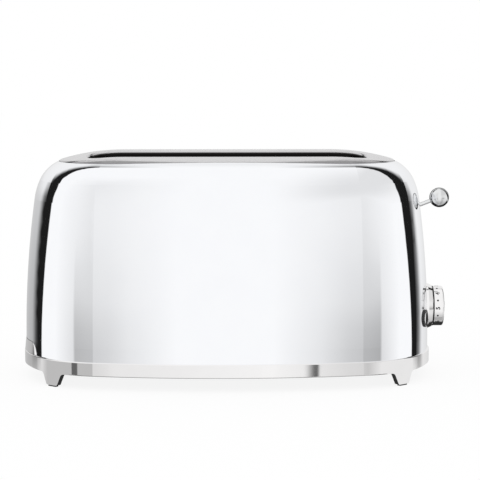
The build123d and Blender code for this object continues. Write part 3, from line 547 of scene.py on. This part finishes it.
@dataclass(frozen=True)
class ToneGraph:
    """Sums that give the room's tone in a direction, as nodes of the world's tree."""

    tree: bpy.types.NodeTree

    def reckon(self, kind: str, *values: Socket | float) -> Socket:
        """Do one sum on one or two values."""
        return add_node(self.tree, "ShaderNodeMath", dict(enumerate(values)), operation=kind).outputs[0]

    def blend(self, share: Socket, low: Socket | float, high: Socket | float) -> Socket:
        """Mix two tones by a share of the second."""
        return add_node(self.tree, "ShaderNodeMix", {"Factor": share, "A": low, "B": high}).outputs[0]

    def follow(self, value: Socket, change: Change) -> Socket:
        """Follow a smooth change along a value.

        Args:
            value: Socket of the value.
            change: Where the change begins and ends, and its level before and after.

        Returns:
            The level's socket.
        """
        made = add_node(self.tree, "ShaderNodeMapRange", {
            "Value": value, "From Min": change.begins, "From Max": change.ends,
            "To Min": change.before, "To Max": change.after}, interpolation_type="SMOOTHSTEP")
        return made.outputs["Result"]

    def read(self, value: Socket, levels: Levels) -> Socket:
        """Read a level off at a value, straight from point to point.

        Args:
            value: Socket of the value.
            levels: Pairs of a value and its level, lowest value first.

        Returns:
            The level's socket.
        """
        low, high = levels[0][0], levels[-1][0]
        # A ramp holds levels up to 1, so higher ones are scaled down in it and back up after it
        top = max(level for _, level in levels)
        share = add_node(self.tree, "ShaderNodeMapRange", {
            "Value": value, "From Min": low, "From Max": high})
        ramp = add_node(self.tree, "ShaderNodeValToRGB", {"Fac": share.outputs["Result"]})
        points = ramp.color_ramp.elements
        while len(points) < len(levels):
            points.new(0.5)
        for point, (place, level) in zip(points, levels):
            point.position = (place - low) / (high - low)
            point.color = (level / top, level / top, level / top, 1.0)
        return self.reckon("MULTIPLY", ramp.outputs["Color"], top)


@dataclass
class Studio:
    """Floor, camera and the light that the metal mirrors.

    The mirrored room is soft white, with a grey card on either side of the camera, a narrow dark
    opening behind the object, and a table whose light fades and breaks off in places. Its tones are
    thinned and rounded from the brightness of the photographed metal, read by direction, so they
    suit this camera best. The camera's place is fitted to the photographed outline.
    """

    distance: float = 1.76673
    height: float = 0.30898
    side_angle: float = -0.6136
    heading: float = -1.0048
    pitch: float = 5.975
    lens: float = 143.034
    sensor: float = 36.0
    clip: tuple[float, float] = (0.05, 50.0)
    floor_size: float = 12.0
    # Share of the floor's white that needs no light: it keeps the shadow faint, as in a bright sweep
    floor_glow: float = 0.88
    # Tone of the cards at each angle to the camera's side, for low and for high rays, in degrees
    card_tones: Levels = ((10, 1.0), (20, 0.85), (30, 0.60), (53, 0.55), (56, 0.80), (85, 1.0))
    card_tones_high: Levels = ((10, 1.0), (20, 0.85), (33, 0.60), (56, 0.80), (85, 1.0))
    card_lift: Change = Change(-0.10, 0.12)
    # How much of the cards' grey is left at each height of the mirrored ray, from -1 down to 1 up
    card_fade: Levels = ((-0.15, 1.2), (-0.05, 0.75), (0.15, 0.40), (0.70, 0.40), (0.95, 0.0))
    # The right card is a little stronger than the left one
    card_sides: Change = Change(-0.8, 0.8, before=0.93, after=1.03)
    # A soft grey lies over the upper right
    upper_side: Change = Change(0.12, 0.42)
    upper_grey: Change = Change(0.05, 0.60, before=0.0, after=0.21)
    # Behind the object the room gets brighter with height, and low down also to the right
    behind_tones: Levels = ((-0.15, 0.65), (0.15, 0.87), (0.4, 0.92))
    behind_right: Change = Change(-0.1, 0.2, before=0.30, after=0.0)
    behind_blend: Change = Change(-0.01, 0.30)
    # Inner and outer edge of the dark opening at each height, and how it fades there and in the middle
    ring_inside: Levels = ((-0.15, 0.38), (0.10, 0.22), (0.35, 0.20), (0.70, 0.31), (0.95, 0.50))
    ring_outside: Levels = ((0.0, 0.62), (0.4, 0.55), (0.95, 0.52))
    ring_lean: float = 0.028
    ring_begins: Change = Change(-0.01, 0.02)
    ring_fades: Change = Change(-0.04, 0.14, before=1.0, after=0.0)
    ring_sides: Change = Change(0.06, 0.24)
    ring_black: float = 0.012
    # The table that low mirrored rays meet, all round from the back over the left and the front
    table_tones: Levels = ((-110, 0.75), (-100, 0.55), (-32, 0.55), (-24, 0.88), (10, 1.0), (18, 0.90),
                           (36, 0.62), (55, 0.88))
    table_gaps: tuple[Gap, ...] = (Gap(-58.5, -57.5, -50.5, -48.5, depth=0.75),
                                   Gap(16.5, 19.3, 19.5, 20.2, depth=0.85))
    table_edge: Change = Change(-0.20, -0.24)
    table_fall: Change = Change(-0.35, -1.0, before=1.0, after=0.6)
    # Rays that dive behind the object meet its own dark foot
    foot_down: Change = Change(-0.30, -0.45)
    foot_back: Change = Change(0.05, 0.30)
    foot_black: float = 0.03

    def place_camera(self) -> None:
        """Set up the camera at the photograph's viewing angle."""
        data = bpy.data.cameras.new("camera")
        data.lens, data.sensor_width = self.lens, self.sensor
        data.clip_start, data.clip_end = self.clip
        camera = bpy.data.objects.new("camera", data)
        angle = math.radians(self.side_angle)
        camera.location = (BODY_X + self.distance * math.sin(angle), -self.distance * math.cos(angle),
                           self.height)
        camera.rotation_euler = (math.radians(90 - self.pitch), 0.0, math.radians(self.heading))
        bpy.context.scene.collection.objects.link(camera)
        bpy.context.scene.camera = camera

    def lay_floor(self) -> None:
        """Lay a white floor that keeps the toaster's shadow and lets mirrored rays pass."""
        half = self.floor_size / 2
        mesh = bpy.data.meshes.new("floor")
        mesh.from_pydata([(-half, -half, 0), (half, -half, 0), (half, half, 0), (-half, half, 0)], [],
                         [(0, 1, 2, 3)])
        floor = bpy.data.objects.new("floor", mesh)
        bpy.context.scene.collection.objects.link(floor)
        material = bpy.data.materials.new("matt_white_floor")
        material.use_nodes = True
        tree = material.node_tree
        shader = tree.nodes["Principled BSDF"]
        shader.inputs["Base Color"].default_value = linear("ffffff")
        shader.inputs["Roughness"].default_value = 1.0
        shader.inputs["Specular IOR Level"].default_value = 0.0
        path = add_node(tree, "ShaderNodeLightPath")
        glow = add_node(tree, "ShaderNodeEmission", {"Color": linear("ffffff"), "Strength": 1.0})
        seen = add_node(tree, "ShaderNodeMath", {
            0: path.outputs["Is Camera Ray"], 1: self.floor_glow}, operation="MULTIPLY")
        bright = add_node(tree, "ShaderNodeMixShader", {
            0: seen.outputs[0], 1: shader.outputs[0], 2: glow.outputs[0]})
        clear = add_node(tree, "ShaderNodeBsdfTransparent")
        mix = add_node(tree, "ShaderNodeMixShader", {
            0: path.outputs["Is Glossy Ray"], 1: bright.outputs[0], 2: clear.outputs[0]})
        tree.links.new(mix.outputs[0], tree.nodes["Material Output"].inputs["Surface"])
        floor.data.materials.append(material)

    def cards(self, graph: ToneGraph, ray: Ray, turn: Socket) -> Socket:
        """Tone of the grey cards either side of the camera.

        Args:
            graph: Graph of the world's tones.
            ray: The mirrored ray.
            turn: The ray's side in degrees.

        Returns:
            The tone's socket.
        """
        bearing = graph.reckon("ABSOLUTE", turn)
        card = graph.blend(graph.follow(ray.up, self.card_lift), graph.read(bearing, self.card_tones),
                           graph.read(bearing, self.card_tones_high))
        grey = graph.reckon("SUBTRACT", 1.0, card)
        grey = graph.reckon("MULTIPLY", grey, graph.read(ray.up, self.card_fade))
        grey = graph.reckon("MULTIPLY", grey, graph.follow(ray.across, self.card_sides))
        upper = graph.reckon("MULTIPLY", graph.follow(ray.across, self.upper_side),
                             graph.follow(ray.up, self.upper_grey))
        return graph.reckon("SUBTRACT", 1.0, graph.reckon("MAXIMUM", grey, upper))

    def opening(self, graph: ToneGraph, ray: Ray, front: Socket) -> Socket:
        """Tone of the room with the space behind the object and its dark opening.

        Args:
            graph: Graph of the world's tones.
            ray: The mirrored ray.
            front: Tone of the room in front.

        Returns:
            The tone's socket.
        """
        right = graph.reckon("MULTIPLY", ray.across, graph.follow(ray.up, self.behind_right))
        behind = graph.reckon("ADD", graph.read(ray.up, self.behind_tones), right)
        inside = graph.reckon("SUBTRACT", graph.read(ray.up, self.ring_inside),
                              graph.reckon("MULTIPLY", ray.across, self.ring_lean))
        past = graph.reckon("SUBTRACT", ray.along, inside)
        beyond = graph.reckon("SUBTRACT", ray.along, graph.read(ray.up, self.ring_outside))
        ring = graph.reckon("MULTIPLY", graph.follow(past, self.ring_begins),
                            graph.follow(beyond, self.ring_fades))
        side = graph.reckon("ABSOLUTE", ray.across)
        ring = graph.reckon("MULTIPLY", ring, graph.follow(side, self.ring_sides))
        tone = graph.blend(graph.follow(past, self.behind_blend), front, behind)
        return graph.blend(ring, tone, self.ring_black)

    def table(self, graph: ToneGraph, ray: Ray, turn: Socket, room: Socket) -> Socket:
        """Tone of the room with the table and the object's dark foot under it.

        Args:
            graph: Graph of the world's tones.
            ray: The mirrored ray.
            turn: The ray's side in degrees.
            room: Tone of the room above the table.

        Returns:
            The tone's socket.
        """
        table = graph.reckon("MULTIPLY", graph.read(turn, self.table_tones),
                             graph.follow(ray.up, self.table_fall))
        for gap in self.table_gaps:
            dark = graph.reckon(
                "MULTIPLY", graph.follow(turn, Change(gap.begins, gap.dark_from)),
                graph.follow(turn, Change(gap.dark_to, gap.ends, before=gap.depth, after=0.0)))
            table = graph.reckon("MULTIPLY", table, graph.reckon("SUBTRACT", 1.0, dark))
        tone = graph.blend(graph.follow(ray.up, self.table_edge), room, table)
        foot = graph.reckon("MULTIPLY", graph.follow(ray.up, self.foot_down),
                            graph.follow(ray.along, self.foot_back))
        return graph.blend(foot, tone, self.foot_black)

    def light(self) -> None:
        """Light the room evenly, with the cards, the opening and the table for mirrored rays only."""
        world = bpy.data.worlds.new("studio")
        bpy.context.scene.world = world
        world.use_nodes = True
        tree = world.node_tree
        graph = ToneGraph(tree)
        direction = add_node(tree, "ShaderNodeTexCoord").outputs[Place.DIRECTION.value]
        ray = Ray(*add_node(tree, "ShaderNodeSeparateXYZ", {0: direction}).outputs)
        toward = graph.reckon("MULTIPLY", ray.along, -1.0)
        turn = graph.reckon("DEGREES", graph.reckon("ARCTAN2", ray.across, toward))
        tone = self.opening(graph, ray, self.cards(graph, ray, turn))
        tone = self.table(graph, ray, turn, tone)
        path = add_node(tree, "ShaderNodeLightPath")
        colour = graph.blend(path.outputs["Is Glossy Ray"], 1.0, tone)
        tree.links.new(colour, tree.nodes["Background"].inputs["Color"])


def main() -> None:
    """Load the frame, dress every piece and set the stage."""
    logging.basicConfig(level=logging.INFO, format="%(message)s")
    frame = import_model()
    scene = bpy.context.scene
    scene.view_settings.view_transform = "Standard"
    made: dict[str, bpy.types.Material] = {}
    for assembly in (Shell, Cage, Works, Controls, KnobScale):
        assembly(frame["nodes"], made).dress()
    studio = Studio()
    studio.lay_floor()
    studio.light()
    studio.place_camera()


if __name__ == "__main__":
    main()
